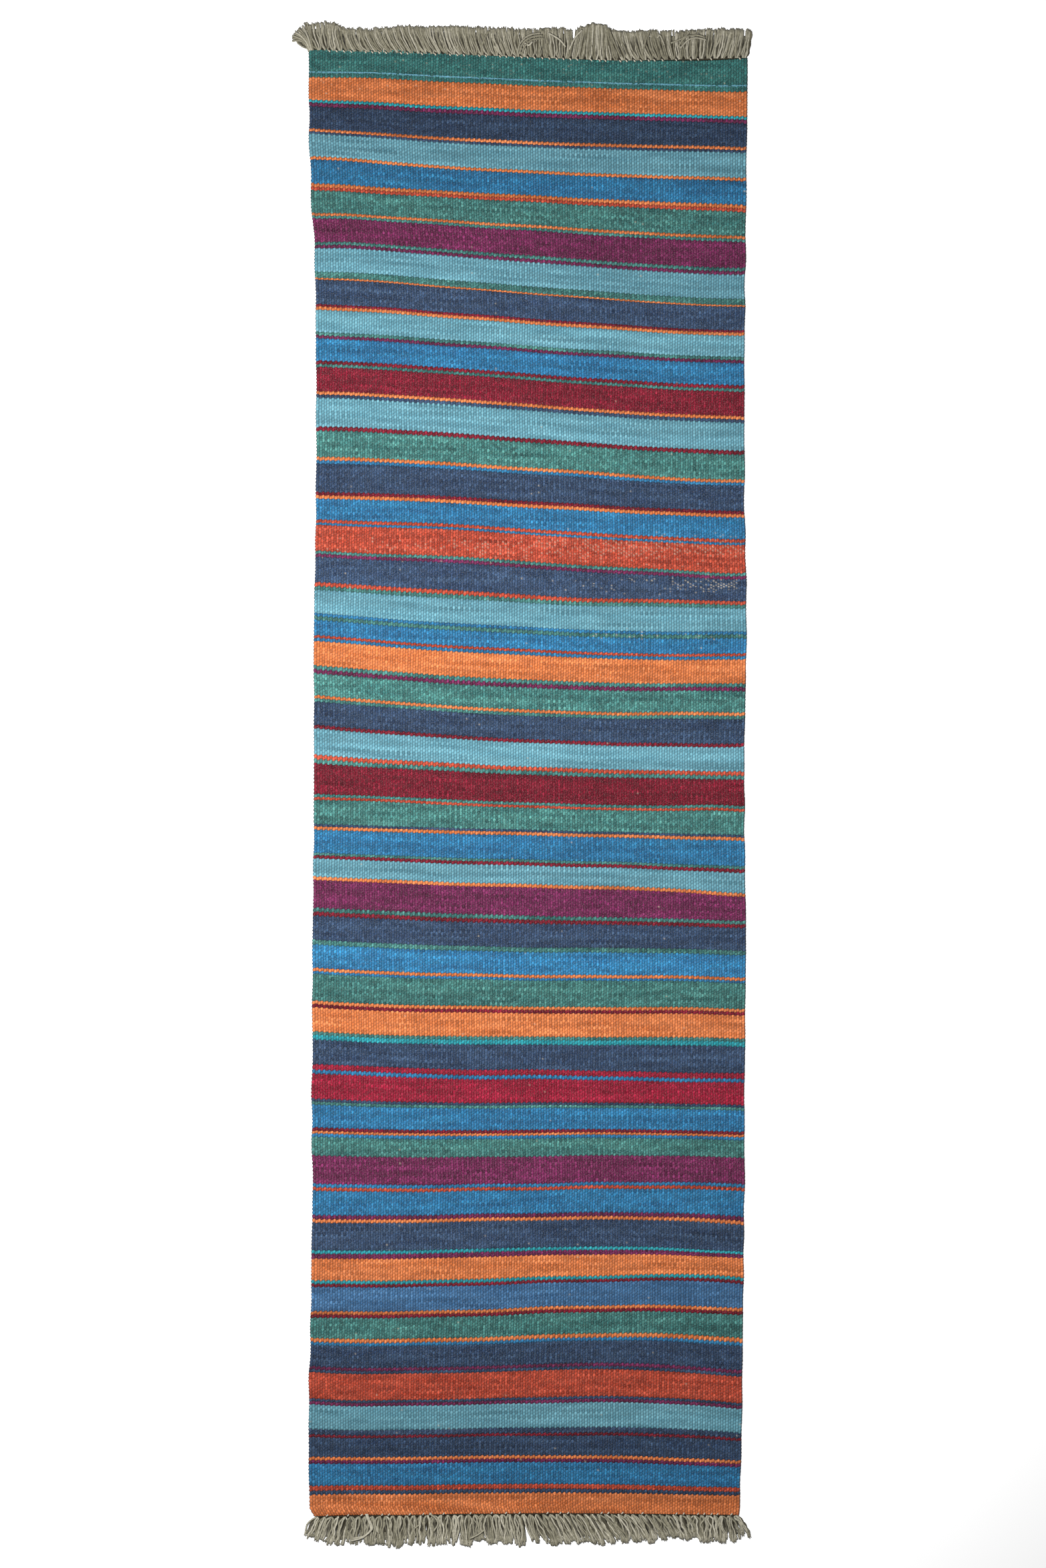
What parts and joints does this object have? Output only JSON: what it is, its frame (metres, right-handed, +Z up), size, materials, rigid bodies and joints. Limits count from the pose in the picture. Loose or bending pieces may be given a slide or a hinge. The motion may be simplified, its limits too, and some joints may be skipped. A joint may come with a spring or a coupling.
{
  "type": "flat-woven runner rug",
  "caption": "Long narrow flat-woven wool runner with cross stripes in many colours and a short warp fringe at each end.",
  "frame": {"origin": "on the floor, under the centre of the rug with its fringes", "axes": "+Y along the rug towards its far end, which starts with the teal band; +X to the right; +Z up from the floor"},
  "size_m": [0.6371, 2.1182, 0.0034],
  "materials": {
    "blue_wool": "matte wool yarn",
    "coral_wool": "matte wool yarn",
    "crimson_wool": "matte wool yarn",
    "dusty_blue_wool": "matte wool yarn",
    "green_wool": "matte wool yarn",
    "navy_wool": "matte wool yarn",
    "orange_wool": "matte wool yarn",
    "plum_wool": "matte wool yarn",
    "sky_wool": "matte wool yarn",
    "teal_wool": "matte wool yarn",
    "turquoise_wool": "matte wool yarn",
    "undyed_yarn": "matte undyed yarn",
    "wine_wool": "matte wool yarn"
  },
  "bodies": {
    "root": {"band_01_teal": "teal_wool", "band_02_orange": "orange_wool", "band_03_navy": "navy_wool", "band_04_sky": "sky_wool", "band_05_blue": "blue_wool", "band_06_green": "green_wool", "band_07_plum": "plum_wool", "band_08_sky": "sky_wool", "band_09_navy": "navy_wool", "band_10_sky": "sky_wool", "band_11_blue": "blue_wool", "band_12_wine": "wine_wool", "band_13_sky": "sky_wool", "band_14_green": "green_wool", "band_15_navy": "navy_wool", "band_16_blue": "blue_wool", "band_17_coral": "coral_wool", "band_18_navy": "navy_wool", "band_19_sky": "sky_wool", "band_20_blue": "blue_wool", "band_21_orange": "orange_wool", "band_22_green": "green_wool", "band_23_navy": "navy_wool", "band_24_sky": "sky_wool", "band_25_wine": "wine_wool", "band_26_green": "green_wool", "band_27_blue": "blue_wool", "band_28_sky": "sky_wool", "band_29_plum": "plum_wool", "band_30_navy": "navy_wool", "band_31_blue": "blue_wool", "band_32_green": "green_wool", "band_33_orange": "orange_wool", "band_34_navy": "navy_wool", "band_35_crimson": "crimson_wool", "band_36_blue": "blue_wool", "band_37_green": "green_wool", "band_38_plum": "plum_wool", "band_39_blue": "blue_wool", "band_40_navy": "navy_wool", "band_41_orange": "orange_wool", "band_42_dusty_blue": "dusty_blue_wool", "band_43_green": "green_wool", "band_44_navy": "navy_wool", "band_45_coral": "coral_wool", "band_46_sky": "sky_wool", "band_47_navy": "navy_wool", "band_48_blue": "blue_wool", "band_49_orange": "orange_wool", "blue_stripes": "blue_wool", "coral_stripes": "coral_wool", "far_fringe": "undyed_yarn", "green_stripes": "green_wool", "navy_stripes": "navy_wool", "near_fringe": "undyed_yarn", "orange_stripes": "orange_wool", "plum_stripes": "plum_wool", "turquoise_stripes": "turquoise_wool", "warps": "undyed_yarn", "wine_stripes": "wine_wool"}
  },
  "joints": []
}
